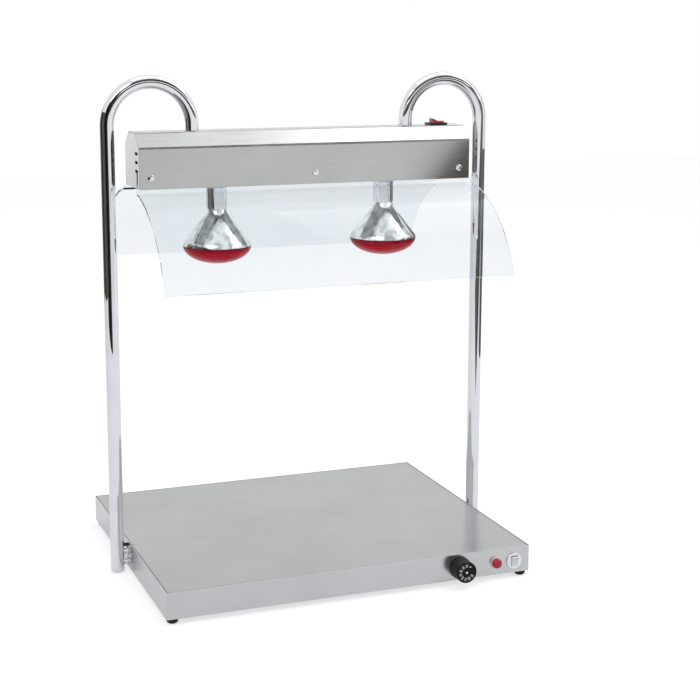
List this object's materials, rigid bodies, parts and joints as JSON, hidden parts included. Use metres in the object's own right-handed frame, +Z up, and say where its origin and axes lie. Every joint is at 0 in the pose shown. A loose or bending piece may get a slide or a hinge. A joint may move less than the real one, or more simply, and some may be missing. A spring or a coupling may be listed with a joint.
{
  "type": "heat lamp food warmer",
  "caption": "Free-standing food warmer: heated steel base, cane-shaped chromed posts, and a lamp housing with red heat lamps and curved clear guards over the warming top.",
  "frame": {"origin": "middle of the base's footprint, on the surface that the feet stand on", "axes": "+X to the right along the front panel, +Y from the front panel to the back, +Z up"},
  "size_m": [0.747, 0.6215, 0.9085],
  "materials": {
    "brushed_stainless": "stainless sheet, brushed along its length",
    "zinc_plated_steel": "zinc-plated steel, dull",
    "chrome_plate": "bright chrome plate, polished",
    "black_plastic": "moulded black plastic, semi-gloss",
    "pale_plastic": "moulded pale plastic",
    "red_plastic": "clear red moulded plastic, glossy",
    "rubber": "moulded black rubber, matt",
    "clear_acrylic": "heat-formed clear acrylic sheet, polished",
    "clear_glass": "blown clear glass with a thin silvered lining",
    "ruby_glass": "ruby-stained glass, glossy",
    "brass": "rolled brass, bright",
    "copper": "drawn copper tube",
    "ceramic": "glazed porcelain",
    "mineral_wool": "pressed mineral wool board",
    "cable_sheath": "heat-resistant silicone sheath"
  },
  "bodies": {
    "warmer": {"base_body": "brushed_stainless", "top_plate": "brushed_stainless", "bottom_cover": "zinc_plated_steel", "insulation_mat": "mineral_wool", "heating_element": "zinc_plated_steel", "element_clamp": "zinc_plated_steel", "thermostat_body": "pale_plastic", "thermostat_sensor": "copper", "pilot_lamp_body": "pale_plastic", "pilot_lamp_lens": "red_plastic", "mains_switch_body": "chrome_plate", "terminal_block": "ceramic", "cable_gland": "black_plastic", "foot_front_left": "rubber", "foot_front_right": "rubber", "foot_rear_left": "rubber", "foot_rear_right": "rubber", "post_left": "chrome_plate", "post_right": "chrome_plate", "post_plug_left": "chrome_plate", "post_plug_right": "chrome_plate", "standoff_left_upper": "chrome_plate", "standoff_left_lower": "chrome_plate", "standoff_right_upper": "chrome_plate", "standoff_right_lower": "chrome_plate", "backing_plate_left": "zinc_plated_steel", "backing_plate_right": "zinc_plated_steel", "cable_sleeve": "rubber", "lamp_housing": "brushed_stainless", "end_cap_left": "brushed_stainless", "end_cap_right": "brushed_stainless", "guard_front": "clear_acrylic", "guard_rear": "clear_acrylic", "lamp_carrier": "zinc_plated_steel", "guard_screw_front_left": "chrome_plate", "guard_screw_front_middle": "chrome_plate", "guard_screw_front_right": "chrome_plate", "guard_screw_rear_left": "chrome_plate", "guard_screw_rear_middle": "chrome_plate", "guard_screw_rear_right": "chrome_plate", "lamp_collar_left": "chrome_plate", "lamp_collar_right": "chrome_plate", "lampholder_left": "ceramic", "lampholder_right": "ceramic", "holder_bracket_left": "zinc_plated_steel", "holder_bracket_right": "zinc_plated_steel", "lamp_glass_left": "clear_glass", "lamp_glass_right": "clear_glass", "lamp_red_face_left": "ruby_glass", "lamp_red_face_right": "ruby_glass", "lamp_cap_left": "brass", "lamp_cap_right": "brass", "lock_nut_left": "zinc_plated_steel", "lock_nut_right": "zinc_plated_steel", "lamp_switch_body": "black_plastic", "housing_wiring": "cable_sheath"},
    "thermostat_dial": {"thermostat_knob": "black_plastic", "thermostat_shaft": "brass"},
    "mains_key": {"mains_rocker": "pale_plastic"},
    "lamp_key": {"lamp_rocker": "red_plastic"}
  },
  "joints": [
    {"name": "thermostat_turn", "type": "hinge", "parent": "warmer", "child": "thermostat_dial", "pos_m": [0.2015, -0.285, 0.033], "axis": [0, 1, 0], "range_deg": [0, 270]},
    {"name": "mains_tip", "type": "hinge", "parent": "warmer", "child": "mains_key", "pos_m": [0.31, -0.287, 0.033], "axis": [1, 0, 0], "range_deg": [-24, 0]},
    {"name": "lamp_tip", "type": "hinge", "parent": "warmer", "child": "lamp_key", "pos_m": [0.271, 0, 0.811], "axis": [0, 1, 0], "range_deg": [-24, 0]}
  ]
}
